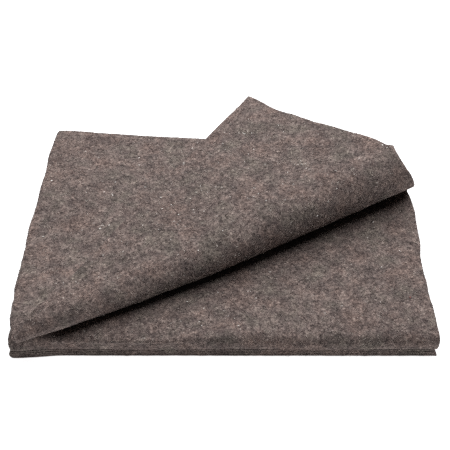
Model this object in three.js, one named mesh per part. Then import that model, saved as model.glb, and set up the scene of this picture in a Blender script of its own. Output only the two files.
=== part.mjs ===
// A felted blanket, folded into a thick oblong pad, with the front right corner of its top leaf turned back.
// Millimetres, +Z up, +X to the right and +Y away from the front edge.
// The origin is on the floor, under the middle of the folded blanket's own box.

import * as THREE from 'three';

// The blanket spread flat, and its felt
const blanketWidth = 2032;
const blanketLength = 1575;
const sheet = 2.5;
const gap = 0.4;

// Its width is folded in half twice, which makes a leaf of four sheets
const sheetsInLeaf = 4;
const pitch = sheet + gap;
const leaf = sheetsInLeaf * pitch - gap;
const leafGap = 1;
const leafPitch = leaf + leafGap;
const noseRadius = pitch / 2;
const wrapRadius = 1.5 * pitch;

// Its length is folded back and forth into four leaves, with two folds at the back and one at the front.
// The top leaf reaches past the front, a little further on the right, and the back folds run askew
const leaves = 4;
const foldsAlong = leaves - 1;
const topLeafReach = 25;
const topLeafSkew = 4;
const backFoldSkew = 24;
const foldRadius = leaf + leafGap / 2;
const foldMiddleRadius = (leaf + leafGap) / 2;

// How squarely the front fold turns, above and below its middle, where 1 is round.
// Under it the lowest leaf's cut end stands a little forward and is swollen, as nothing presses on it
const frontFoldAbove = 0.85;
const frontFoldBelow = 0.5;
const cutEndReach = 1.5;
const cutEndSwelling = 1.25;
const cutEndLength = 5;

// The straight runs between the folds use up the rest of the cloth
const noseReach = noseRadius + sheet / 2;
const acrossBends = Math.PI * (wrapRadius + 2 * noseRadius);
const acrossRun = (blanketWidth - acrossBends - 2 * noseReach) / sheetsInLeaf;
const alongBends = foldsAlong * Math.PI * foldMiddleRadius;
const alongRun = (blanketLength - alongBends - 2 * foldRadius - topLeafReach) / leaves;

// Where the folds sit, from the middle of the pad
const padWidth = acrossRun + wrapRadius + sheet / 2 + noseReach;
const padDepth = alongRun + 2 * foldRadius;
const padHeight = leaves * leafPitch - leafGap;
const wrapX = -padWidth / 2 + wrapRadius + sheet / 2;
const noseX = padWidth / 2 - noseReach;
const frontFoldY = -padDepth / 2 + foldRadius;
const backFoldY = padDepth / 2 - foldRadius;

// The corner is rolled over on a slim cone, tight at the front left corner and loose at the right side
const creaseAngle = THREE.MathUtils.degToRad(27.6);
const creaseInset = 12;
const rollRadiusAtTip = 8.1;
const rollRadiusAtSide = 35.7;
const rollTurn = THREE.MathUtils.degToRad(179.5);
const creaseLength = padWidth / Math.cos(creaseAngle);
const coneSlope = Math.atan((rollRadiusAtSide - rollRadiusAtTip) / creaseLength);
const coneBand = rollTurn * Math.sin(coneSlope);
const tipToApex = rollRadiusAtTip / Math.tan(coneSlope);
const bandStart = creaseAngle + coneBand / 2;
const topLeafMiddle = padHeight - leaf / 2;
const apex = new THREE.Vector3(
  -padWidth / 2 + creaseInset - tipToApex * Math.cos(creaseAngle),
  -padDepth / 2 - topLeafReach + topLeafSkew - tipToApex * Math.sin(creaseAngle),
  topLeafMiddle,
);

// How far the two sides stray outwards from the true strip, from the first leaf's front end up to the top leaf's
const sideStray = [
  { leaf: 0, left: 0, right: 0 },
  { leaf: 1, left: 1, right: -2 },
  { leaf: 2, left: -2, right: 1 },
  { leaf: 2.5, left: 0, right: -1 },
  { leaf: 3, left: 3, right: -3 },
  { leaf: 3.25, left: 6, right: 1 },
  { leaf: 3.5, left: 7, right: 7 },
  { leaf: 3.75, left: 5, right: -2 },
  { leaf: 3.875, left: 3, right: -1 },
  { leaf: 4, left: -8, right: 5 },
];

// How far the roll bows forward from its middle on, and how far to each side of it the cloth follows
const rollBow = 20.3;
const bowReach = 120;

// Where the pad has been pushed out of true: the middle, reach and move of each push
const pushes = [
  { x: -252, y: -190, z: 6, reach: 60, moveX: -5, moveY: -4, moveZ: 0 },
  { x: -255, y: 195, z: 48, reach: 280, moveX: 0, moveY: 0, moveZ: 6 },
  { x: 0, y: 195, z: 48, reach: 260, moveX: 0, moveY: 0, moveZ: -4 },
  { x: 255, y: 170, z: 40, reach: 90, moveX: -3, moveY: -8, moveZ: 0 },
];

// How finely the folds and the flat runs are divided
const acrossSteps = 3;
const alongSteps = 4;
const topLeafSteps = 8;
const wrapSteps = 6;
const noseSteps = 4;
const backFoldSteps = 5;
const frontFoldSteps = 8;
const rollSteps = 8;
const onLine = 0.05;

// Each point of the fold across: its place in the leaf, and the way its outer face looks.
// The turns of a bend are in half circles, from the right and upwards
function runAcross(fromX, toX, height, facing) {
  const points = [];
  for (let step = 0; step <= acrossSteps; step += 1) {
    const x = THREE.MathUtils.lerp(fromX, toX, step / acrossSteps);
    points.push({ x, height, faceX: 0, faceZ: facing });
  }
  return points;
}

function bendAcross(x, height, radius, fromTurn, toTurn, steps, facing) {
  const points = [];
  for (let step = 1; step < steps; step += 1) {
    const turn = THREE.MathUtils.lerp(fromTurn, toTurn, step / steps) * Math.PI;
    const sideways = Math.cos(turn);
    const upwards = Math.sin(turn);
    points.push({
      x: x + radius * sideways,
      height: height + radius * upwards,
      faceX: facing * sideways,
      faceZ: facing * upwards,
    });
  }
  return points;
}

// The four sheets of a leaf, from the bottom one over the wrap to the top one, then back inside
function foldAcross() {
  const middles = Array.from({ length: sheetsInLeaf }, (_, index) => sheet / 2 + index * pitch);
  const [first, second, third, fourth] = middles;
  const cut = (height, facing) => ({ x: noseX + noseReach, height, faceX: 0, faceZ: facing });
  return [
    cut(first, -1),
    ...runAcross(noseX, wrapX, first, -1),
    ...bendAcross(wrapX, (first + fourth) / 2, wrapRadius, -0.5, -1.5, wrapSteps, 1),
    ...runAcross(wrapX, noseX, fourth, 1),
    ...bendAcross(noseX, (third + fourth) / 2, noseRadius, 0.5, -0.5, noseSteps, 1),
    ...runAcross(noseX, wrapX, third, -1),
    ...bendAcross(wrapX, (second + third) / 2, noseRadius, 0.5, 1.5, wrapSteps, -1),
    ...runAcross(wrapX, noseX, second, 1),
    cut(second, 1),
  ];
}

// A station of the fold along: how many leaves lie before it, and where it puts a height within the leaf
function runAlong(leavesBefore, fromY, toY, upright) {
  const floor = leavesBefore * leafPitch;
  const top = leavesBefore === leaves - 1;
  const steps = top ? topLeafSteps : alongSteps;
  const stations = [];
  for (let step = 0; step <= steps; step += 1) {
    const share = step / steps;
    const y = THREE.MathUtils.lerp(fromY, toY, share);
    const place = (height) => ({ y, z: upright ? floor + height : floor + leaf - height });
    stations.push({ leaf: leavesBefore + share, top, place });
  }
  return stations;
}

function bendAlong(leavesBefore, y, side, radiusAt, steps, below, above) {
  const middle = leavesBefore * leafPitch - leafGap / 2;
  const stations = [];
  for (let step = 1; step < steps; step += 1) {
    const turn = Math.PI * step / steps;
    const squareness = step < steps / 2 ? below : above;
    const sideways = Math.sin(turn) ** squareness;
    const downwards = Math.sign(Math.cos(turn)) * Math.abs(Math.cos(turn)) ** squareness;
    const place = (height) => ({
      y: y + side * radiusAt(height) * sideways,
      z: middle - radiusAt(height) * downwards,
    });
    stations.push({ leaf: leavesBefore, top: false, place });
  }
  return stations;
}

function foldAlong() {
  const topInside = (height) => foldRadius - height;
  const bottomInside = (height) => leafGap / 2 + height;
  const frontEnd = frontFoldY - foldRadius;
  const cutEnd = (height) => ({ y: frontEnd - cutEndReach, z: height * cutEndSwelling });
  return [
    { leaf: 0, top: false, place: cutEnd },
    ...runAlong(0, frontEnd + cutEndLength, backFoldY, true),
    ...bendAlong(1, backFoldY, 1, topInside, backFoldSteps, 1, 1),
    ...runAlong(1, backFoldY, frontFoldY, false),
    ...bendAlong(2, frontFoldY, -1, bottomInside, frontFoldSteps, frontFoldBelow, frontFoldAbove),
    ...runAlong(2, frontFoldY, backFoldY, true),
    ...bendAlong(3, backFoldY, 1, topInside, backFoldSteps, 1, 1),
    ...runAlong(3, backFoldY, frontEnd - topLeafReach, false),
  ];
}

// A smooth course through the rows of a table
function between(rows, key, column, at) {
  const row = rows.findIndex((entry, index) => index === rows.length - 2 || rows[index + 1][key] > at);
  const [from, to] = [rows[row], rows[row + 1]];
  const share = THREE.MathUtils.smoothstep(at, from[key], to[key]);
  return THREE.MathUtils.lerp(from[column], to[column], share);
}

// The true strip's point, moved with its stray sides and its folds that run askew
function astray(x, y, z, station) {
  const left = between(sideStray, 'leaf', 'left', station.leaf);
  const right = between(sideStray, 'leaf', 'right', station.leaf);
  const rightwards = x / padWidth + 0.5;
  const backwards = y / padDepth + 0.5;
  const skew = station.top ? topLeafSkew * (1 - 2 * rightwards) * (1 - backwards) : 0;
  return new THREE.Vector3(
    x + THREE.MathUtils.lerp(-left, right, rightwards),
    y + skew - backFoldSkew * rightwards * Math.max(backwards, 0),
    z,
  );
}

// The felt between its two faces, as a closed mesh on the two folds.
// Every cell is split along its diagonal that runs to the right and back, so that sheets lie evenly on each other
function foldedFelt() {
  const across = foldAcross();
  const along = foldAlong();
  const points = [];
  const top = [];
  for (const place of across) {
    for (const station of along) {
      for (const side of [0.5, -0.5]) {
        const { y, z } = station.place(place.height + side * sheet * place.faceZ);
        points.push(astray(place.x + side * sheet * place.faceX, y, z, station));
        top.push(station.top);
      }
    }
  }
  const triangles = [];
  const index = (i, j, side) => (i * along.length + j) * 2 + side;
  const quad = (a, b, c, d) => triangles.push([a, c, b], [a, d, c]);
  const cell = (a, b, c, d) => {
    const splitsAlike = (points[c].x - points[a].x) * (points[c].y - points[a].y) > 0;
    if (splitsAlike) {
      quad(a, b, c, d);
    } else {
      quad(b, c, d, a);
    }
  };
  const lastI = across.length - 1;
  const lastJ = along.length - 1;
  for (let i = 0; i < lastI; i += 1) {
    for (let j = 0; j < lastJ; j += 1) {
      cell(index(i, j, 0), index(i, j + 1, 0), index(i + 1, j + 1, 0), index(i + 1, j, 0));
      cell(index(i, j, 1), index(i + 1, j, 1), index(i + 1, j + 1, 1), index(i, j + 1, 1));
    }
    quad(index(i, 0, 0), index(i + 1, 0, 0), index(i + 1, 0, 1), index(i, 0, 1));
    quad(index(i, lastJ, 0), index(i, lastJ, 1), index(i + 1, lastJ, 1), index(i + 1, lastJ, 0));
  }
  for (let j = 0; j < lastJ; j += 1) {
    quad(index(0, j, 0), index(0, j, 1), index(0, j + 1, 1), index(0, j + 1, 0));
    quad(index(lastI, j, 0), index(lastI, j + 1, 0), index(lastI, j + 1, 1), index(lastI, j, 1));
  }
  return { points, top, triangles };
}

// How far round the cone's flat pattern a point lies, from the line where the roll starts
function pastBandStart(point) {
  return bandStart - Math.atan2(point.y - apex.y, point.x - apex.x);
}

// New points in the top leaf along a line from the cone's tip, so that the leaf can bend there
function divideAlong(mesh, angle) {
  const { points, top } = mesh;
  const offset = (point) => {
    const reach = Math.hypot(point.x - apex.x, point.y - apex.y);
    return reach * Math.sin(Math.atan2(point.y - apex.y, point.x - apex.x) - angle);
  };
  const made = new Map();
  const cutBetween = (a, b) => {
    const [low, high] = a < b ? [a, b] : [b, a];
    const key = `${low} ${high}`;
    if (!made.has(key)) {
      const share = offset(points[low]) / (offset(points[low]) - offset(points[high]));
      points.push(points[low].clone().lerp(points[high], share));
      top.push(true);
      made.set(key, points.length - 1);
    }
    return made.get(key);
  };
  const sideOf = (point) => (Math.abs(offset(point)) < onLine ? 0 : Math.sign(offset(point)));
  mesh.triangles = mesh.triangles.flatMap((triangle) => {
    const sides = triangle.map((vertex) => sideOf(points[vertex]));
    const crossed = sides.includes(1) && sides.includes(-1);
    if (!crossed || !triangle.every((vertex) => top[vertex])) {
      return [triangle];
    }
    const lone = sides.findIndex((side) => side !== 0 && sides.filter((other) => other === side).length === 1);
    const onIt = sides.indexOf(0);
    if (onIt >= 0) {
      const [a, b, c] = [0, 1, 2].map((turn) => triangle[(onIt + turn) % 3]);
      const cut = cutBetween(b, c);
      return [[a, b, cut], [a, cut, c]];
    }
    const [a, b, c] = [0, 1, 2].map((turn) => triangle[(lone + turn) % 3]);
    const cutB = cutBetween(a, b);
    const cutC = cutBetween(a, c);
    const fromB = points[cutB].distanceTo(points[c]) < points[cutC].distanceTo(points[b]);
    const rest = fromB ? [[cutB, b, c], [cutB, c, cutC]] : [[cutB, b, cutC], [b, c, cutC]];
    return [[a, cutB, cutC], ...rest];
  });
}

// The corner rolled over: round the cone first, then on in the plane where the roll ends
function turnBack(point) {
  const past = pastBandStart(point);
  if (past <= 0) {
    return;
  }
  const reach = Math.hypot(point.x - apex.x, point.y - apex.y);
  const lift = point.z - apex.z;
  const turn = Math.min(past / Math.sin(coneSlope), rollTurn);
  const beyond = Math.max(past - coneBand, 0);
  const along = new THREE.Vector3(Math.cos(bandStart), Math.sin(bandStart), 0);
  const sideways = new THREE.Vector3(Math.sin(bandStart), -Math.cos(bandStart), 0);
  const up = new THREE.Vector3(0, 0, 1);
  const axis = along.clone().multiplyScalar(Math.cos(coneSlope)).addScaledVector(up, Math.sin(coneSlope));
  const crest = along.clone().multiplyScalar(-Math.sin(coneSlope)).addScaledVector(up, Math.cos(coneSlope));
  const outward = crest.clone().multiplyScalar(-Math.cos(turn)).addScaledVector(sideways, Math.sin(turn));
  const onward = crest.clone().multiplyScalar(Math.sin(turn)).addScaledVector(sideways, Math.cos(turn));
  const ruling = axis.clone().multiplyScalar(Math.cos(coneSlope)).addScaledVector(outward, Math.sin(coneSlope));
  const inward = axis.clone().multiplyScalar(Math.sin(coneSlope)).addScaledVector(outward, -Math.cos(coneSlope));
  point.copy(apex)
    .addScaledVector(ruling, reach * Math.cos(beyond))
    .addScaledVector(onward, reach * Math.sin(beyond))
    .addScaledVector(inward, lift);
}

function rollTopCorner(mesh) {
  for (let step = 0; step <= rollSteps; step += 1) {
    divideAlong(mesh, bandStart - coneBand * step / rollSteps);
  }
  mesh.points.filter((point, index) => mesh.top[index]).forEach(turnBack);
}

// A smooth hill: 1 at its middle, and nothing from its reach on
function hill(distance, reach) {
  return (1 - Math.min(distance / reach, 1) ** 2) ** 2;
}

// The roll's bow: growing to half way along it, and fading to both sides of it and down to the leaf below
function bow(point) {
  const crease = new THREE.Vector2(Math.cos(creaseAngle), Math.sin(creaseAngle));
  const forward = new THREE.Vector2(crease.y, -crease.x);
  const fromApex = new THREE.Vector2(point.x - apex.x, point.y - apex.y);
  const along = THREE.MathUtils.clamp((fromApex.dot(crease) - tipToApex) / creaseLength, 0, 1);
  const above = THREE.MathUtils.smoothstep(point.z, topLeafMiddle - 1.5 * leaf, topLeafMiddle - leaf / 2);
  const grown = Math.sin(Math.PI * Math.min(along, 0.5));
  const amount = rollBow * grown * hill(Math.abs(fromApex.dot(forward)), bowReach) * above;
  point.x += forward.x * amount;
  point.y += forward.y * amount;
}

function push(point) {
  const start = point.clone();
  for (const { x, y, z, reach, moveX, moveY, moveZ } of pushes) {
    const amount = hill(start.distanceTo(new THREE.Vector3(x, y, z)), reach);
    point.x += moveX * amount;
    point.y += moveY * amount;
    point.z += moveZ * amount * Math.min(start.z / padHeight, 1);
  }
}

function blanketMesh() {
  const mesh = foldedFelt();
  rollTopCorner(mesh);
  mesh.points.forEach(bow);
  mesh.points.forEach(push);
  const geometry = new THREE.BufferGeometry().setFromPoints(mesh.points);
  geometry.setIndex(mesh.triangles.flat());
  geometry.computeBoundingBox();
  const middle = geometry.boundingBox.getCenter(new THREE.Vector3());
  geometry.translate(-middle.x, -middle.y, 0);
  geometry.computeVertexNormals();
  const felt = new THREE.MeshStandardMaterial({ color: 0x6b615d, roughness: 0.95, metalness: 0 });
  const blanket = new THREE.Mesh(geometry, felt);
  blanket.name = 'blanket';
  return blanket;
}

const model = new THREE.Group();
model.add(blanketMesh());

export default model;
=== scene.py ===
# A felted blanket, folded into a thick oblong pad with the front right corner of its top leaf turned back.
# Sizes are in millimetres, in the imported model's frame, and become metres where a mesh is made.

import math

import bpy
import numpy as np
from mathutils import Matrix, Vector
from mathutils.bvhtree import BVHTree


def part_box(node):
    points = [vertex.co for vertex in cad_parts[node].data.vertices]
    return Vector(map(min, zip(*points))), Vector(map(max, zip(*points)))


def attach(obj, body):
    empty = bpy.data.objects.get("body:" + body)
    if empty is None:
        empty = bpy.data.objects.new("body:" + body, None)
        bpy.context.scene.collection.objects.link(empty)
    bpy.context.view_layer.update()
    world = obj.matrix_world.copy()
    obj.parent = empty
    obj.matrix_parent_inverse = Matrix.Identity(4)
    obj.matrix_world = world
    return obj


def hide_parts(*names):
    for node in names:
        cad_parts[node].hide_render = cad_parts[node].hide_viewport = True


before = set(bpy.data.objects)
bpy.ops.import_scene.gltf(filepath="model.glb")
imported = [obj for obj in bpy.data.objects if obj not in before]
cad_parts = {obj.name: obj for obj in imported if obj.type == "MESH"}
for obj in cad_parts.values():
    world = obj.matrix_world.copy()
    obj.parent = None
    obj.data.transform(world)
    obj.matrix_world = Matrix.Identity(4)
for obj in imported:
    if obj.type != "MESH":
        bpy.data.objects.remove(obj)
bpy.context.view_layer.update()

METRES = 0.001

# The blanket spread flat, and its felt
BLANKET_WIDTH = 2032.0
BLANKET_LENGTH = 1575.0
SHEET = 2.5
GAP = 0.4

# Its width is folded in half twice, which makes a leaf of four sheets
SHEETS_IN_LEAF = 4
PITCH = SHEET + GAP
LEAF = SHEETS_IN_LEAF * PITCH - GAP
LEAF_GAP = 1.0
LEAF_PITCH = LEAF + LEAF_GAP
NOSE_RADIUS = PITCH / 2
WRAP_RADIUS = 1.5 * PITCH

# Its length is folded back and forth into four leaves
LEAVES = 4
FOLDS_ALONG = LEAVES - 1
TOP_LEAF_REACH = 23.0
TOP_LEAF_SKEW = 4.0
BACK_FOLD_SKEW = 24.0
FOLD_RADIUS = LEAF + LEAF_GAP / 2
FOLD_MIDDLE_RADIUS = (LEAF + LEAF_GAP) / 2

# How squarely the front fold turns, above and below its middle, where 1 is round.
# It hangs over the lowest leaf's cut end, which is swollen up to it
FRONT_FOLD_ABOVE = 0.85
FRONT_FOLD_BELOW = 0.5
FRONT_FOLD_OVERHANG = 3.5
CUT_END_SWELLING = 1.08
CUT_END_LENGTH = 5.0

# The straight runs between the folds use up the rest of the cloth
NOSE_REACH = NOSE_RADIUS + SHEET / 2
ACROSS_BENDS = math.pi * (WRAP_RADIUS + 2 * NOSE_RADIUS)
ACROSS_RUN = (BLANKET_WIDTH - ACROSS_BENDS - 2 * NOSE_REACH) / SHEETS_IN_LEAF
ALONG_BENDS = FOLDS_ALONG * math.pi * FOLD_MIDDLE_RADIUS
ALONG_EXTRAS = 2 * FOLD_RADIUS + 2 * FRONT_FOLD_OVERHANG + TOP_LEAF_REACH
ALONG_RUN = (BLANKET_LENGTH - ALONG_BENDS - ALONG_EXTRAS) / LEAVES

# Where the folds sit, from the middle of the pad
PAD_WIDTH = ACROSS_RUN + WRAP_RADIUS + SHEET / 2 + NOSE_REACH
PAD_DEPTH = ALONG_RUN + 2 * FOLD_RADIUS
PAD_HEIGHT = LEAVES * LEAF_PITCH - LEAF_GAP
WRAP_X = -PAD_WIDTH / 2 + WRAP_RADIUS + SHEET / 2
NOSE_X = PAD_WIDTH / 2 - NOSE_REACH
FRONT_FOLD_Y = -PAD_DEPTH / 2 + FOLD_RADIUS - FRONT_FOLD_OVERHANG
BACK_FOLD_Y = PAD_DEPTH / 2 - FOLD_RADIUS
FRONT_END_Y = -PAD_DEPTH / 2 - TOP_LEAF_REACH

# The corner is rolled over on a slim cone, tight at the front left corner and loose at the right side
CREASE_ANGLE = math.radians(27.6)
CREASE_INSET = 12.0
ROLL_RADIUS_AT_TIP = 8.1
ROLL_RADIUS_AT_SIDE = 35.7
ROLL_TURN = math.radians(179.5)
CREASE_LENGTH = PAD_WIDTH / math.cos(CREASE_ANGLE)
CONE_SLOPE = math.atan((ROLL_RADIUS_AT_SIDE - ROLL_RADIUS_AT_TIP) / CREASE_LENGTH)
CONE_BAND = ROLL_TURN * math.sin(CONE_SLOPE)
TIP_TO_APEX = ROLL_RADIUS_AT_TIP / math.tan(CONE_SLOPE)
BAND_START = CREASE_ANGLE + CONE_BAND / 2
TOP_LEAF_MIDDLE = PAD_HEIGHT - LEAF / 2
APEX = np.array([
    -PAD_WIDTH / 2 + CREASE_INSET - TIP_TO_APEX * math.cos(CREASE_ANGLE),
    FRONT_END_Y + TOP_LEAF_SKEW - TIP_TO_APEX * math.sin(CREASE_ANGLE),
    TOP_LEAF_MIDDLE,
])

# How far the two sides stray outwards from the true strip, leaf by leaf: leaf, left, right
SIDE_STRAY = np.array([
    (0.0, 0, 0),
    (1.0, 1, -2),
    (2.0, -2, 1),
    (2.5, 0, -1),
    (3.0, 3, -3),
    (3.2, 6, 0),
    (3.34, 6.5, -1),
    (3.46, 7, 10),
    (3.75, 5, -2),
    (3.875, 1, -1),
    (4.0, -10, 5),
])

# How far the roll bows forward from its middle on, and how far to each side of it the cloth follows
ROLL_BOW = 20.3
BOW_REACH = 120.0

# Where the pad has been pushed out of true: the push's middle, its reach, and how far it moves
PUSHES = [
    ((-252, -190, 6), 60, (-5, -4, 0)),
    ((-255, 195, 48), 280, (0, 0, 6)),
    ((0, 195, 48), 260, (0, 0, -4)),
    ((255, 170, 40), 90, (-3, -8, 0)),
]

# Bumps and troughs in the top of the pad: middle, reach along each way, turn in degrees, height
BUMPS = [
    ((-226, -182), (34, 22), 0, 6.0),
    ((-219, -156), (24, 10), -45, -7.5),
    ((-150, -110), (60, 26), 28, 1.2),
    ((-60, 60), (70, 20), 60, -1.2),
    ((-190, 60), (50, 34), 80, 1.2),
    ((-120, 150), (70, 18), 5, -1.0),
    ((120, -110), (60, 36), 20, 1.2),
    ((60, -165), (80, 16), 5, -1.0),
    ((200, -150), (40, 24), 70, 1.4),
    ((150, 60), (60, 24), 30, -1.2),
    ((60, 130), (40, 26), -40, 1.2),
]

# How finely the folds and the flat runs are divided
OUTER_STEPS = 84
INNER_STEPS = 9
WRAP_STEPS = 8
NOSE_STEPS = 6
FOLD_STEPS = 10
CUT_END_STEPS = 3
LOW_LEAF_STEPS = 15
THIRD_LEAF_STEPS = 52
TOP_ROWS_BEHIND = 48
TOP_ROWS_ROLLED = 24
TOP_ROWS_TURNED = 40

# How far apart the top leaf's rows stay where its free end crowds them
ROW_CROWDING = 0.35

# How the felt's cut edges are rounded off: how thin they are at the rim, and how far the rim stands out
RIM_THINNING = 0.8
RIM_REACH = 0.6

# Unevenness, as lengths and heights: soft waves, up and sideways, fine relief, and ragged edges with how far
# in they reach. Then how far the gaps open, the share of that inside, and over what length
WAVE_SIZES = ((95.0, 1.3), (38.0, 0.7))
SIDEWAYS_WAVE = (60.0, 0.9)
RELIEF = ((9.0, 0.22), (4.5, 0.16))
EDGE_WAVES = ((34.0, 1.8), (12.0, 0.9))
EDGE_REACH = 70.0
GAP_OPENING = 1.6
GAP_SHARE_INSIDE = 0.35
GAP_WAVE = 85.0

# How the top leaf stands clear of the others at the roll's tip: its move, and the move's middle and reach
TIP_MOVE = (4.0, -6.0, 8.0)
TIP_MIDDLE = (-235.0, -205.0)
TIP_REACH = 150.0

# The soft noise: how many hills it has before it repeats, its seeds, and how far apart in it the leaves
# lie, in millimetres, and the layers and the two sides, in waves
NOISE_PERIOD = 32
EDGE_SEED = 20
GAP_SEED = 40
WAVE_SEED = 50
SIDEWAYS_SEED = 60
RELIEF_SEED = 70
LEAF_STRIDE = 400.0
LAYER_STRIDE = 5.3
SIDE_STRIDE = 7.7

# The loose fibres that lie on the felt: how many of each kind, their lengths and radii, how high they arch,
# how far they bend sideways for their length, and where along them their two rings of points are
FIBRES_IN_PIECE = 15000
FIBRE_LENGTHS = (3.0, 8.0)
FIBRE_RADII = (0.05, 0.13)
FIBRE_ARCHES = (0.1, 0.7)
FIBRE_BEND = 0.2
FIBRE_RINGS = (0.33, 0.67)

# Rays find the fibres' places: the share of rays from the sides, how steep each kind is, as a sine,
# where they aim, as shares of the pad's width and depth and as a height, and how far off they start
SIDE_SHARE = 0.35
SIDE_STEEPNESS = (0.05, 0.7)
TOP_STEEPNESS = (0.7, 1.0)
AIM_ACROSS = (-0.55, 0.55)
AIM_ALONG = (-0.6, 0.55)
AIM_HEIGHT = 30.0
RAY_START = 600.0

# Bits of pale lint in the felt, gathered about some places: middle, reach, how many
LINT_CLUSTERS = [
    ((-164.8, -14.0), 9, 6),
    ((-57.7, 69.1), 12, 7),
    ((31.5, 123.9), 10, 5),
    ((101.7, 46.3), 14, 8),
    ((211.8, 71.0), 8, 5),
    ((0.0, 0.0), 300, 170),
]
LINT_LENGTHS = (2.0, 5.0)
LINT_RADII = (0.45, 0.9)
LINT_SINKING = -0.1
LINT_SEED = 7
LINT_PATCH = 3.0
RED_SPECK = (228.8, -128.1)

# Colours: the tones of the felt's mixed fibres, the tints of its broad patches, the shades of its clouds,
# and the tones of the loose fibres and the lint, each with its place between 0 and 1
FELT_TONES = [
    (0.00, (0.018, 0.014, 0.014)),
    (0.22, (0.060, 0.046, 0.044)),
    (0.50, (0.110, 0.086, 0.079)),
    (0.78, (0.180, 0.142, 0.128)),
    (1.00, (0.330, 0.275, 0.250)),
]
FELT_TINTS = [
    (0.34, (0.93, 0.99, 0.95)),
    (0.48, (1.00, 1.00, 1.00)),
    (0.66, (1.09, 1.02, 0.99)),
]
CLOUD_SHADES = [
    (0.30, (0.66, 0.66, 0.68)),
    (0.70, (1.36, 1.35, 1.33)),
]
PALE_TONES = [
    (0.0, (0.16, 0.13, 0.12)),
    (0.6, (0.30, 0.26, 0.24)),
    (1.0, (0.60, 0.55, 0.50)),
]
DARK_TONES = [
    (0.0, (0.012, 0.010, 0.010)),
    (0.6, (0.035, 0.026, 0.026)),
    (1.0, (0.110, 0.070, 0.055)),
]
LINT_TONES = [
    (0.0, (0.45, 0.41, 0.38)),
    (1.0, (0.85, 0.82, 0.78)),
]
RED_TONES = [
    (0.0, (0.45, 0.06, 0.05)),
    (1.0, (0.50, 0.08, 0.06)),
]

# What the felt's look is made of: the shreds' sizes, the share of coarse ones, and how they are warped,
# then the lumps, the clouds of shade, the patches of tint, and the nap that is raised
CHIP_SIZES = (1.5, 3.4)
COARSE_SHARE = 0.36
CHIP_WARP = 1.6
WARP_SIZE = 2.5
LUMP_SIZE = 5.0
LUMP_SHARE = 0.2
CLOUD_SIZE = 15.0
PATCH_SIZE = 36.0
NAP_SIZE = 3.0
NAP_HEIGHT = 1.2
NAP_STRENGTH = 0.8

# The kinds of loose fibres: name, seed, tones, and how long a stretch keeps its tone
FIBRE_KINDS = [
    ("fibres_pale", 1, PALE_TONES, 7.0),
    ("fibres_dark", 2, DARK_TONES, 7.0),
    ("fibres_mixed", 3, FELT_TONES, 4.0),
]

# The camera, from the pad's middle on the floor, and the image it was fitted to
IMAGE_SIDE_PX = 450
FOCAL_PX = 789.44
CAMERA_PLACE = (18.6, -782.7, 773.0)
CAMERA_DIP = math.radians(43.5)
CAMERA_TURN = math.radians(1.39)
CAMERA_ROLL = math.radians(-1.08)
PAD_MIDDLE = (-0.3, 8.6, 0.0)
SENSOR = 36.0

# The floor, whose glow hides the pad's shadow on it
FLOOR_REACH = 6000.0
FLOOR_DROP = 0.3
FLOOR_COLOUR = (0.7, 0.7, 0.7)
FLOOR_GLOW = 0.95

# The light: one broad round lamp above and behind the pad, in metres and watts, and a faint sky
LAMP_PLACE = (0.15, 0.85, 1.75)
LAMP_AIM = (0, 0, 0)
LAMP_WIDTH = 3.0
LAMP_POWER = 120
SKY_STRENGTH = 0.04


def run_across(from_x, to_x, height, facing, steps):
    """Rows of x, height in the leaf, and the way the outer face looks, along a flat run of one sheet."""
    x = np.linspace(from_x, to_x, steps + 1)
    flat = np.ones_like(x)
    return np.stack([x, height * flat, 0 * flat, facing * flat], axis=1)


def bend_across(x, height, radius, from_turn, to_turn, steps, facing):
    """The same rows round a bend, whose turns are in half circles, from the right and upwards."""
    turn = np.linspace(from_turn, to_turn, steps + 1)[1:-1] * math.pi
    sideways, upwards = np.cos(turn), np.sin(turn)
    places = (x + radius * sideways, height + radius * upwards)
    return np.stack([*places, facing * sideways, facing * upwards], axis=1)


def fold_across():
    """The four sheets of a leaf, from the bottom one over the wrap to the top one, then back inside."""
    first, second, third, fourth = (SHEET / 2 + index * PITCH for index in range(SHEETS_IN_LEAF))
    cut_x = NOSE_X + NOSE_REACH
    parts = [
        run_across(cut_x, WRAP_X, first, -1, OUTER_STEPS),
        bend_across(WRAP_X, (first + fourth) / 2, WRAP_RADIUS, -0.5, -1.5, WRAP_STEPS, 1),
        run_across(WRAP_X, NOSE_X, fourth, 1, OUTER_STEPS),
        bend_across(NOSE_X, (third + fourth) / 2, NOSE_RADIUS, 0.5, -0.5, NOSE_STEPS, 1),
        run_across(NOSE_X, WRAP_X, third, -1, INNER_STEPS),
        bend_across(WRAP_X, (second + third) / 2, NOSE_RADIUS, 0.5, 1.5, WRAP_STEPS, -1),
        run_across(WRAP_X, cut_x, second, 1, INNER_STEPS),
    ]
    return np.concatenate(parts)


def ruling_y(x, angle):
    """Where a line from the cone's tip crosses the top leaf at x."""
    return APEX[1] + math.tan(angle) * (x - APEX[0])


def top_leaf_rows():
    """The top leaf's rows from the back fold to its free end, as their y at the left and at the right."""
    left, right = -PAD_WIDTH / 2, PAD_WIDTH / 2
    band_end = BAND_START - CONE_BAND
    sides = [(ruling_y(left, angle), ruling_y(right, angle)) for angle in (BAND_START, band_end)]
    lines = [((BACK_FOLD_Y, BACK_FOLD_Y), sides[0], TOP_ROWS_BEHIND)]
    lines.append((sides[0], sides[1], TOP_ROWS_ROLLED))
    lines.append((sides[1], (FRONT_END_Y, FRONT_END_Y), TOP_ROWS_TURNED))
    rows = [(BACK_FOLD_Y, BACK_FOLD_Y)]
    for start, end, steps in lines:
        for share in np.linspace(0, 1, steps + 1)[1:]:
            rows.append(tuple(np.array(start) * (1 - share) + np.array(end) * share))
    return rows


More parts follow.
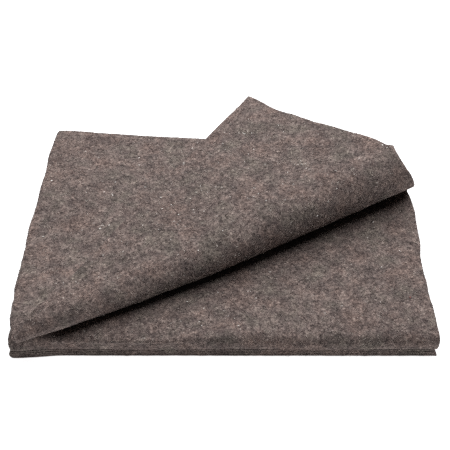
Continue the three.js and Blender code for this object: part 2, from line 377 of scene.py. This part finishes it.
def run_along(leaves_before, y_rows, upright):
    """Stations along a leaf: leaves passed so far, whether in the top leaf, and where a height goes."""
    lowest = leaves_before * LEAF_PITCH
    in_top_leaf = leaves_before == LEAVES - 1
    stations = []
    last = len(y_rows) - 1
    for row, (left_y, right_y) in enumerate(y_rows):
        nearest = FRONT_END_Y + ROW_CROWDING * (last - row) if in_top_leaf else -PAD_DEPTH

        def place(height, rightwards, left_y=left_y, right_y=right_y, nearest=nearest):
            y = np.maximum(left_y + (right_y - left_y) * rightwards, nearest)
            return y, lowest + height if upright else lowest + LEAF - height

        stations.append((leaves_before + row / last, in_top_leaf, place))
    return stations


def bend_along(leaves_before, y, side, radius_at, below, above):
    """The same stations round a fold, which is round where below and above are 1, and else squarer."""
    middle = leaves_before * LEAF_PITCH - LEAF_GAP / 2
    stations = []
    for turn in np.linspace(0, math.pi, FOLD_STEPS + 1)[1:-1]:
        squareness = below if turn < math.pi / 2 else above
        sideways = math.sin(turn) ** squareness
        downwards = math.copysign(abs(math.cos(turn)) ** squareness, math.cos(turn))

        def place(height, rightwards, sideways=sideways, downwards=downwards):
            radius = radius_at(height)
            return y + side * radius * sideways, middle - radius * downwards

        stations.append((leaves_before, False, place))
    return stations


def straight_rows(from_y, to_y, steps):
    """Rows that run straight across a leaf, as their y at the left and at the right."""
    return [(y, y) for y in np.linspace(from_y, to_y, steps + 1)]


def cut_end():
    """The lowest leaf's free end, swollen up to the fold that hangs over it."""
    stations = []
    for share in np.linspace(0, 1, CUT_END_STEPS + 1)[:-1]:
        swelling = CUT_END_SWELLING + (1 - CUT_END_SWELLING) * share

        def place(height, rightwards, share=share, swelling=swelling):
            return np.full_like(height, -PAD_DEPTH / 2 + CUT_END_LENGTH * share), height * swelling

        stations.append((0, False, place))
    return stations


def fold_along():
    """The stations of all four leaves, from the lowest leaf's free end to the top one's."""

    def at_back(height):
        return FOLD_RADIUS - height

    def at_front(height):
        return LEAF_GAP / 2 + height

    return [
        *cut_end(),
        *run_along(0, straight_rows(-PAD_DEPTH / 2 + CUT_END_LENGTH, BACK_FOLD_Y, LOW_LEAF_STEPS), True),
        *bend_along(1, BACK_FOLD_Y, 1, at_back, 1, 1),
        *run_along(1, straight_rows(BACK_FOLD_Y, FRONT_FOLD_Y, LOW_LEAF_STEPS), False),
        *bend_along(2, FRONT_FOLD_Y, -1, at_front, FRONT_FOLD_BELOW, FRONT_FOLD_ABOVE),
        *run_along(2, straight_rows(FRONT_FOLD_Y, BACK_FOLD_Y, THIRD_LEAF_STEPS), True),
        *bend_along(3, BACK_FOLD_Y, 1, at_back, 1, 1),
        *run_along(3, top_leaf_rows(), False),
    ]


def smooth(share):
    """A smooth step from 0 to 1."""
    share = np.clip(share, 0, 1)
    return share * share * (3 - 2 * share)


def between(rows, column, at):
    """A smooth course through the rows of a table whose first column is the place."""
    place = rows[:, 0]
    row = np.clip(np.searchsorted(place, at, side="right") - 1, 0, len(rows) - 2)
    share = smooth((at - place[row]) / (place[row + 1] - place[row]))
    return rows[row, column] * (1 - share) + rows[row + 1, column] * share


def noise(points, size, seed):
    """Soft noise between -1 and 1, with hills about size apart, over points of two or three numbers."""
    points = np.asarray(points, float)
    ways = points.shape[-1]
    lattice = np.random.default_rng(seed).uniform(-1, 1, (NOISE_PERIOD,) * ways)
    cell = points / size
    low = np.floor(cell).astype(int)
    share = smooth(cell - low)
    total = np.zeros(points.shape[:-1])
    for corner in np.ndindex((2,) * ways):
        weight = np.prod(np.where(np.array(corner) == 1, share, 1 - share), axis=-1)
        at = (low + np.array(corner)) % NOISE_PERIOD
        total += weight * lattice[tuple(at[..., way] for way in range(ways))]
    return total


def astray(points, leaf, top):
    """The true strip's points, moved with its stray sides and its folds that run askew."""
    left = between(SIDE_STRAY, 1, leaf)
    right = between(SIDE_STRAY, 2, leaf)
    rightwards = points[..., 0] / PAD_WIDTH + 0.5
    backwards = points[..., 1] / PAD_DEPTH + 0.5
    skew = np.where(top, TOP_LEAF_SKEW * (1 - 2 * rightwards) * (1 - backwards), 0)
    moved = points.copy()
    moved[..., 0] += -left * (1 - rightwards) + right * rightwards
    moved[..., 1] += skew - BACK_FOLD_SKEW * rightwards * np.maximum(backwards, 0)
    return moved


def ragged(points, along, layer):
    """Layers' edges at the two sides, each a little in or out of line with its neighbours."""
    x = points[..., 0]
    moved = points.copy()
    for side, start in ((-1, -PAD_WIDTH / 2), (1, PAD_WIDTH / 2)):
        near = smooth(1 - np.abs(x - start) / EDGE_REACH)
        part = layer if side > 0 else np.zeros_like(layer)
        for number, (size, amount) in enumerate(EDGE_WAVES):
            place = np.stack([along, part * LAYER_STRIDE * size + side * SIDE_STRIDE * size], axis=-1)
            moved[..., 0] += near * amount * noise(place, size, EDGE_SEED + number)
    return moved


def turn_back(points, top):
    """The corner rolled over: round the cone first, then on in the plane where the roll ends."""
    x, y, z = (points[..., way] - APEX[way] for way in range(3))
    # Seen from the cone's tip, the angle by which a point lies past the line where the roll begins
    past = BAND_START - np.arctan2(y, x)
    rolled = top & (past > 0)
    reach = np.hypot(x, y)[..., None]
    turn = np.minimum(past / math.sin(CONE_SLOPE), ROLL_TURN)[..., None]
    beyond = np.maximum(past - CONE_BAND, 0)[..., None]
    along = np.array([math.cos(BAND_START), math.sin(BAND_START), 0])
    sideways = np.array([math.sin(BAND_START), -math.cos(BAND_START), 0])
    up = np.array([0, 0, 1])
    axis = along * math.cos(CONE_SLOPE) + up * math.sin(CONE_SLOPE)
    crest = up * math.cos(CONE_SLOPE) - along * math.sin(CONE_SLOPE)
    outward = sideways * np.sin(turn) - crest * np.cos(turn)
    onward = sideways * np.cos(turn) + crest * np.sin(turn)
    ruling = axis * math.cos(CONE_SLOPE) + outward * math.sin(CONE_SLOPE)
    inward = axis * math.sin(CONE_SLOPE) - outward * math.cos(CONE_SLOPE)
    turned = (APEX + ruling * reach * np.cos(beyond)
              + onward * reach * np.sin(beyond) + inward * z[..., None])
    return np.where(rolled[..., None], turned, points)


def hill(distance, reach):
    """A smooth hill: 1 at its middle, and nothing from its reach on."""
    return (1 - np.minimum(distance / reach, 1) ** 2) ** 2


def bow(points):
    """The roll's bow, which grows to half way along it, and fades to both sides and to the leaf below."""
    crease = np.array([math.cos(CREASE_ANGLE), math.sin(CREASE_ANGLE)])
    forward = np.array([crease[1], -crease[0]])
    from_apex = points[..., :2] - APEX[:2]
    along = np.clip((from_apex @ crease - TIP_TO_APEX) / CREASE_LENGTH, 0, 1)
    above = smooth((points[..., 2] - TOP_LEAF_MIDDLE + 1.5 * LEAF) / LEAF)
    grown = np.sin(math.pi * np.minimum(along, 0.5))
    amount = ROLL_BOW * grown * hill(np.abs(from_apex @ forward), BOW_REACH) * above
    moved = points.copy()
    moved[..., :2] += forward * amount[..., None]
    return moved


def push(points):
    """The pad's corners and back, pushed out of true."""
    moved = points.copy()
    for middle, reach, move in PUSHES:
        amount = hill(np.linalg.norm(points - np.array(middle), axis=-1), reach)
        moved[..., :2] += np.array(move[:2]) * amount[..., None]
        moved[..., 2] += move[2] * amount * np.clip(points[..., 2] / PAD_HEIGHT, 0, 1)
    return moved


def above_gap(points, leaf):
    """How far a point is past the gap under this leaf: 0 below the gap and 1 above it."""
    gap_middle = leaf * LEAF_PITCH - LEAF_GAP / 2
    return smooth((points[..., 2] - gap_middle) / (2 * LEAF_GAP) + 0.5)


def opened_gaps(points):
    """The leaves lie unevenly on each other, and the top one stands clear at the roll's tip."""
    moved = points.copy()
    near_side = smooth((np.abs(points[..., 0]) - PAD_WIDTH / 4) / (PAD_WIDTH / 4))
    opening = GAP_OPENING * (GAP_SHARE_INSIDE + (1 - GAP_SHARE_INSIDE) * near_side) / 2
    for leaf in range(1, LEAVES):
        wave = 0.5 + 0.5 * noise(points[..., :2] + LEAF_STRIDE * leaf, GAP_WAVE, GAP_SEED + leaf)
        moved[..., 2] += above_gap(points, leaf) * opening * wave
    near_tip = hill(np.linalg.norm(points[..., :2] - np.array(TIP_MIDDLE), axis=-1), TIP_REACH)
    return moved + (above_gap(points, LEAVES - 1) * near_tip)[..., None] * np.array(TIP_MOVE)


def softened(points):
    """Soft waves through the whole pile, and the bumps and troughs in its top."""
    share = np.clip(points[..., 2] / PAD_HEIGHT, 0, 1)
    lift = np.zeros(points.shape[:-1])
    for number, (size, amount) in enumerate(WAVE_SIZES):
        lift += amount * noise(points[..., :2], size, WAVE_SEED + number) * share
    for middle, reach, turn, height in BUMPS:
        angle = math.radians(turn)
        away = points[..., :2] - np.array(middle)
        along = away[..., 0] * math.cos(angle) + away[..., 1] * math.sin(angle)
        across = away[..., 1] * math.cos(angle) - away[..., 0] * math.sin(angle)
        lift += height * hill(np.hypot(along / reach[0], across / reach[1]), 1) * share
    moved = points.copy()
    moved[..., 2] += lift
    size, amount = SIDEWAYS_WAVE
    for way in range(2):
        moved[..., way] += amount * noise(points, size, SIDEWAYS_SEED + way) * smooth(points[..., 2] / LEAF)
    return moved


def layers_of(across):
    """Which layer of the leaf each row belongs to, counted in quarters of the blanket's width."""
    lengths = np.linalg.norm(np.diff(across[:, :2], axis=0), axis=1)
    so_far = np.concatenate([[0], np.cumsum(lengths)])
    return np.floor(so_far / (BLANKET_WIDTH / SHEETS_IN_LEAF) + 0.5)


def felt_grid():
    """The felt's two faces as a grid of points: across, along, face, and then x, y, z."""
    across = fold_across()
    across = np.concatenate([across[:1], across, across[-1:]])
    thinned = np.ones(len(across))
    thinned[[0, -1]] = RIM_THINNING
    rim_x = np.zeros(len(across))
    rim_x[[0, -1]] = RIM_REACH
    stations = fold_along()
    stations = [stations[0], *stations, stations[-1]]
    rims = (0, len(stations) - 1)
    grid = np.zeros((len(across), len(stations), 2, 3))
    for number, (_, _, place) in enumerate(stations):
        thin = thinned * (RIM_THINNING if number in rims else 1)
        rim_y = RIM_REACH if number in rims else 0
        for face, side in enumerate((0.5, -0.5)):
            height = across[:, 1] + side * SHEET * across[:, 3] * thin
            y, z = place(height, across[:, 0] / PAD_WIDTH + 0.5)
            grid[:, number, face, 0] = across[:, 0] + side * SHEET * across[:, 2] * thin + rim_x
            grid[:, number, face, 1] = y - rim_y
            grid[:, number, face, 2] = z
    leaf = np.array([station[0] for station in stations], float)
    top = np.array([station[1] for station in stations])
    leaf = np.broadcast_to(leaf[None, :, None], grid.shape[:3])
    top = np.broadcast_to(top[None, :, None], grid.shape[:3])
    past_back_fold = (BACK_FOLD_Y - grid[..., 1]) / (BACK_FOLD_Y - FRONT_END_Y)
    leaf = np.where(top, LEAVES - 1 + past_back_fold, leaf)
    layer = np.broadcast_to(layers_of(across)[:, None, None], grid.shape[:3])
    return grid, leaf, top, layer


def felt_faces(wide, long):
    """Quads over both faces of the grid and round its rim, all facing out of the felt."""
    index = np.arange(wide * long * 2).reshape(wide, long, 2)
    quads = []

    def add(a, b, c, d):
        quads.append(np.stack([a.ravel(), d.ravel(), c.ravel(), b.ravel()], axis=1))

    add(index[:-1, :-1, 0], index[:-1, 1:, 0], index[1:, 1:, 0], index[1:, :-1, 0])
    add(index[:-1, :-1, 1], index[1:, :-1, 1], index[1:, 1:, 1], index[:-1, 1:, 1])
    add(index[:-1, 0, 0], index[1:, 0, 0], index[1:, 0, 1], index[:-1, 0, 1])
    add(index[:-1, -1, 0], index[:-1, -1, 1], index[1:, -1, 1], index[1:, -1, 0])
    add(index[0, :-1, 0], index[0, :-1, 1], index[0, 1:, 1], index[0, 1:, 0])
    add(index[-1, :-1, 0], index[-1, 1:, 0], index[-1, 1:, 1], index[-1, :-1, 1])
    return np.concatenate(quads)


def mesh_object(name, points, faces, material):
    """A smooth piece from points in millimetres."""
    mesh = bpy.data.meshes.new(name)
    mesh.from_pydata((points * METRES).tolist(), [], faces.tolist())
    mesh.shade_smooth()
    mesh.materials.append(material)
    piece = bpy.data.objects.new(name, mesh)
    bpy.context.scene.collection.objects.link(piece)
    return piece


def point_normals(points, quads):
    """The points' normals, as the mean of their quads' ones."""
    first, second, third, fourth = (points[quads[:, corner]] for corner in range(4))
    diagonals = np.cross(third - first, fourth - second)
    normals = np.zeros_like(points)
    for corner in range(4):
        np.add.at(normals, quads[:, corner], diagonals)
    return normals / np.maximum(np.linalg.norm(normals, axis=1, keepdims=True), 1e-9)


def folded_felt():
    """The blanket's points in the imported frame, and its quads."""
    grid, leaf, top, layer = felt_grid()
    grid = ragged(grid, leaf * PAD_DEPTH, layer)
    grid = push(bow(turn_back(astray(grid, leaf, top), top)))
    low, high = (np.array(corner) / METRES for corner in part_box("blanket"))
    middle = (grid.min(axis=(0, 1, 2)) + grid.max(axis=(0, 1, 2))) / 2
    grid = softened(opened_gaps(grid))
    quads = felt_faces(*grid.shape[:2])
    points = grid.reshape(-1, 3)
    normals = point_normals(points, quads)
    for number, (size, amount) in enumerate(RELIEF):
        points = points + normals * (amount * noise(points, size, RELIEF_SEED + number))[:, None]
    points[:, 2] = np.maximum(points[:, 2], 0)
    points[:, :2] += ((low + high) / 2 - middle)[:2]
    return points, quads


def matt_material(name, roughness, gloss):
    """A new material and its shader, with little or no gloss."""
    material = bpy.data.materials.new(name)
    material.use_nodes = True
    shader = material.node_tree.nodes["Principled BSDF"]
    shader.inputs["Roughness"].default_value = roughness
    shader.inputs["Specular IOR Level"].default_value = gloss
    return material, shader


def node(tree, kind, **settings):
    made = tree.nodes.new(kind)
    for name, value in settings.items():
        setattr(made, name, value)
    return made


def noise_node(tree, place, size, detail, roughness=0.6):
    """A noise texture whose lumps are about size millimetres apart."""
    made = node(tree, "ShaderNodeTexNoise")
    made.inputs["Scale"].default_value = 1 / (size * METRES)
    made.inputs["Detail"].default_value = detail
    made.inputs["Roughness"].default_value = roughness
    tree.links.new(place, made.inputs["Vector"])
    return made


def ramp(tree, value, stops):
    """A colour looked up between the stops."""
    made = node(tree, "ShaderNodeValToRGB")
    elements = made.color_ramp.elements
    while len(elements) < len(stops):
        elements.new(0.5)
    for element, (place, colour) in zip(elements, stops):
        element.position = place
        element.color = (*colour, 1)
    tree.links.new(value, made.inputs["Fac"])
    return made.outputs["Color"]


def multiplied(tree, first, second):
    """Two colours multiplied, whose sockets share their names with others and are picked by type."""
    made = node(tree, "ShaderNodeMix", data_type="RGBA", blend_type="MULTIPLY")
    made.inputs["Factor"].default_value = 1.0
    colours = [socket for socket in made.inputs if socket.type == "RGBA"]
    tree.links.new(first, colours[0])
    tree.links.new(second, colours[1])
    return next(socket for socket in made.outputs if socket.type == "RGBA")


def chips(tree, place, size):
    """A random tone for every small cell of a warped cell pattern, like chopped and mixed fibres."""
    cells = node(tree, "ShaderNodeTexVoronoi", feature="F1")
    cells.inputs["Scale"].default_value = 1 / (size * METRES)
    tree.links.new(place, cells.inputs["Vector"])
    split = node(tree, "ShaderNodeSeparateColor")
    tree.links.new(cells.outputs["Color"], split.inputs["Color"])
    return split.outputs["Red"]


def warped(tree, place, size, amount):
    """The place, moved about by soft noise, which turns cells into ragged shreds."""
    wander = noise_node(tree, place, size, 2).outputs["Color"]
    centred = node(tree, "ShaderNodeVectorMath", operation="SUBTRACT")
    centred.inputs[1].default_value = (0.5, 0.5, 0.5)
    tree.links.new(wander, centred.inputs[0])
    scaled = node(tree, "ShaderNodeVectorMath", operation="SCALE")
    scaled.inputs["Scale"].default_value = amount * METRES * 2
    tree.links.new(centred.outputs["Vector"], scaled.inputs[0])
    moved = node(tree, "ShaderNodeVectorMath", operation="ADD")
    tree.links.new(place, moved.inputs[0])
    tree.links.new(scaled.outputs["Vector"], moved.inputs[1])
    return moved.outputs["Vector"]


def average(tree, first, second, share):
    """Two values mixed, where share is the second one's."""
    made = node(tree, "ShaderNodeMix", data_type="FLOAT")
    made.inputs["Factor"].default_value = share
    tree.links.new(first, made.inputs["A"])
    tree.links.new(second, made.inputs["B"])
    return made.outputs["Result"]


def felt_material():
    """Matt needled felt: shreds of mixed tones, clouds of shade and broad patches of tint."""
    material, shader = matt_material("felt", 1.0, 0.1)
    tree = material.node_tree
    place = node(tree, "ShaderNodeTexCoord").outputs["Object"]
    shred = warped(tree, place, WARP_SIZE, CHIP_WARP)
    fine, coarse = (chips(tree, shred, size) for size in CHIP_SIZES)
    mixed = average(tree, fine, coarse, COARSE_SHARE)
    lumps = noise_node(tree, place, LUMP_SIZE, detail=2).outputs["Fac"]
    tone = ramp(tree, average(tree, mixed, lumps, LUMP_SHARE), FELT_TONES)
    clouds = noise_node(tree, place, CLOUD_SIZE, detail=4, roughness=0.65).outputs["Fac"]
    clouded = multiplied(tree, tone, ramp(tree, clouds, CLOUD_SHADES))
    patches = noise_node(tree, place, PATCH_SIZE, detail=3).outputs["Fac"]
    coloured = multiplied(tree, clouded, ramp(tree, patches, FELT_TINTS))
    tree.links.new(coloured, shader.inputs["Base Color"])
    shader.inputs["Sheen Weight"].default_value = 0.03
    shader.inputs["Sheen Roughness"].default_value = 0.6
    bump = node(tree, "ShaderNodeBump")
    bump.inputs["Strength"].default_value = NAP_STRENGTH
    bump.inputs["Distance"].default_value = NAP_HEIGHT * METRES
    nap = noise_node(tree, place, NAP_SIZE, detail=4, roughness=0.7).outputs["Fac"]
    tree.links.new(nap, bump.inputs["Height"])
    tree.links.new(bump.outputs["Normal"], shader.inputs["Normal"])
    return material


def fibre_material(name, tones, size):
    """Loose fibres, each stretch of them in one of a few tones."""
    material, shader = matt_material(name, 0.9, 0.1)
    tree = material.node_tree
    place = node(tree, "ShaderNodeTexCoord").outputs["Object"]
    tree.links.new(ramp(tree, chips(tree, place, size), tones), shader.inputs["Base Color"])
    return material


def floor_material():
    """A plain pale floor that glows."""
    material, shader = matt_material("pale_floor", 1.0, 0.0)
    shader.inputs["Base Color"].default_value = (*FLOOR_COLOUR, 1)
    shader.inputs["Emission Color"].default_value = (1, 1, 1, 1)
    shader.inputs["Emission Strength"].default_value = FLOOR_GLOW
    return material


def exposed(tree, count, random):
    """Places and normals on the outside of the pad, which rays from above and from the sides find."""
    found = []
    while len(found) < count:
        level = random.uniform(0, 2 * math.pi)
        steepness = SIDE_STEEPNESS if random.random() < SIDE_SHARE else TOP_STEEPNESS
        steep = random.uniform(*steepness)
        flat = math.sqrt(1 - steep * steep)
        towards = Vector((-flat * math.cos(level), -flat * math.sin(level), -steep))
        across, along = (random.uniform(*span) for span in (AIM_ACROSS, AIM_ALONG))
        aim = Vector((across * PAD_WIDTH, along * PAD_DEPTH, AIM_HEIGHT))
        place, normal, _, _ = tree.ray_cast(aim - towards * RAY_START, towards)
        if place is not None:
            found.append((*place, *(normal if normal.dot(towards) < 0 else -normal)))
    found = np.array(found)
    return found[:, :3], found[:, 3:]


def spindles(places, normals, lengths, radii, arches, random):
    """Closed, tapered, arched threads lying on the felt, each with two rings of points and two tips."""
    count = len(places)
    ways = random.normal(size=(count, 3))
    ways -= normals * (ways * normals).sum(axis=1, keepdims=True)
    ways /= np.linalg.norm(ways, axis=1, keepdims=True)
    sides = np.cross(normals, ways)
    bends = random.uniform(-FIBRE_BEND, FIBRE_BEND, count) * lengths
    points = np.zeros((count, 8, 3))
    start, end = places - ways * lengths[:, None] / 2, places + ways * lengths[:, None] / 2
    points[:, 0], points[:, 7] = start, end
    for ring, share in enumerate(FIBRE_RINGS):
        middle = start + (end - start) * share + normals * arches[:, None] + sides * bends[:, None]
        for corner in range(3):
            angle = 2 * math.pi * corner / 3
            out = normals * math.cos(angle) + sides * math.sin(angle)
            points[:, 1 + 3 * ring + corner] = middle + out * radii[:, None]
    faces = [(0, 2, 1), (0, 3, 2), (0, 1, 3), (7, 4, 5), (7, 5, 6), (7, 6, 4)]
    for corner in range(3):
        a, b = 1 + corner, 1 + (corner + 1) % 3
        faces += [(a, b, b + 3), (a, b + 3, a + 3)]
    faces = np.array(faces)[None] + 8 * np.arange(count)[:, None, None]
    return points.reshape(-1, 3), faces.reshape(-1, 3)


def thread_piece(name, points, faces, tones, patch):
    """A piece of many threads, which rides with the blanket and has its finish."""
    piece = mesh_object(name, points, faces, fibre_material(name, tones, patch))
    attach(piece, "root")


def loose_fibres(tree, name, seed, tones, patch):
    """Fibres of one kind, lying all over the outside of the pad."""
    random = np.random.default_rng(seed)
    places, normals = exposed(tree, FIBRES_IN_PIECE, random)
    spans = (FIBRE_LENGTHS, FIBRE_RADII, FIBRE_ARCHES)
    lengths, radii, arches = (random.uniform(*span, FIBRES_IN_PIECE) for span in spans)
    points, faces = spindles(places, normals, lengths, radii, arches, random)
    points[:, 2] = np.maximum(points[:, 2], 0)
    thread_piece(name, points, faces, tones, patch)


def lint(tree):
    """Bits of pale lint, scattered and in clusters, and one red one."""
    random = np.random.default_rng(LINT_SEED)
    spots = []
    for middle, reach, count in LINT_CLUSTERS:
        spots += [np.array(middle) + random.normal(size=2) * reach / 2 for _ in range(count)]
    for name, wanted, tones in (("pale_lint", spots, LINT_TONES), ("red_speck", [RED_SPECK], RED_TONES)):
        found = []
        for spot in wanted:
            place, normal, _, _ = tree.ray_cast(Vector((*spot, RAY_START)), Vector((0, 0, -1)))
            if place is not None and normal.z > 0:
                found.append((*place, *normal))
        found = np.array(found)
        lengths, radii = (random.uniform(*span, len(found)) for span in (LINT_LENGTHS, LINT_RADII))
        points, faces = spindles(found[:, :3], found[:, 3:], lengths, radii, LINT_SINKING * radii, random)
        thread_piece(name, points, faces, tones, LINT_PATCH)


def blanket():
    """The folded felt, and the fibres and lint on it."""
    points, quads = folded_felt()
    piece = mesh_object("folded_blanket", points, quads, felt_material())
    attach(piece, "root")
    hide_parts("blanket")
    tree = BVHTree.FromPolygons(points.tolist(), quads.tolist())
    for kind in FIBRE_KINDS:
        loose_fibres(tree, *kind)
    lint(tree)


def camera():
    """The camera at the photograph's viewing angle."""
    data = bpy.data.cameras.new("camera")
    data.sensor_width = SENSOR
    data.sensor_fit = "HORIZONTAL"
    data.lens = FOCAL_PX / IMAGE_SIDE_PX * SENSOR
    eye = bpy.data.objects.new("camera", data)
    bpy.context.scene.collection.objects.link(eye)
    ahead = np.array([-math.sin(CAMERA_TURN), math.cos(CAMERA_TURN), 0])
    level = np.array([math.cos(CAMERA_TURN), math.sin(CAMERA_TURN), 0])
    skyward = np.array([0, 0, 1])
    forward = ahead * math.cos(CAMERA_DIP) - skyward * math.sin(CAMERA_DIP)
    upright = ahead * math.sin(CAMERA_DIP) + skyward * math.cos(CAMERA_DIP)
    right = level * math.cos(CAMERA_ROLL) + upright * math.sin(CAMERA_ROLL)
    up = upright * math.cos(CAMERA_ROLL) - level * math.sin(CAMERA_ROLL)
    turned = Matrix([Vector(right), Vector(up), Vector(-forward)]).transposed()
    place = (np.array(CAMERA_PLACE) + np.array(PAD_MIDDLE)) * METRES
    eye.matrix_world = Matrix.Translation(Vector(place)) @ turned.to_4x4()
    bpy.context.scene.camera = eye


def floor():
    """The floor, a hair below the pad."""
    signs = ((-1, -1), (1, -1), (1, 1), (-1, 1))
    corners = np.array([(across * FLOOR_REACH, along * FLOOR_REACH, 0) for across, along in signs])
    plane = mesh_object("floor", corners, np.array([[0, 1, 2, 3]]), floor_material())
    plane.location.z = -FLOOR_DROP * METRES


def lamp():
    """The broad round lamp."""
    data = bpy.data.lights.new("key", "AREA")
    data.shape = "DISK"
    data.size = LAMP_WIDTH
    data.energy = LAMP_POWER
    light = bpy.data.objects.new("key", data)
    bpy.context.scene.collection.objects.link(light)
    light.location = LAMP_PLACE
    light.rotation_euler = (Vector(LAMP_AIM) - Vector(LAMP_PLACE)).to_track_quat("-Z", "Y").to_euler()


def sky():
    """A faint white sky, and how the picture is shown."""
    world = bpy.data.worlds.new("studio")
    bpy.context.scene.world = world
    world.use_nodes = True
    background = world.node_tree.nodes["Background"]
    background.inputs["Color"].default_value = (1, 1, 1, 1)
    background.inputs["Strength"].default_value = SKY_STRENGTH
    bpy.context.scene.view_settings.view_transform = "Standard"
    bpy.context.scene.cycles.use_denoising = False


camera()
blanket()
floor()
lamp()
sky()
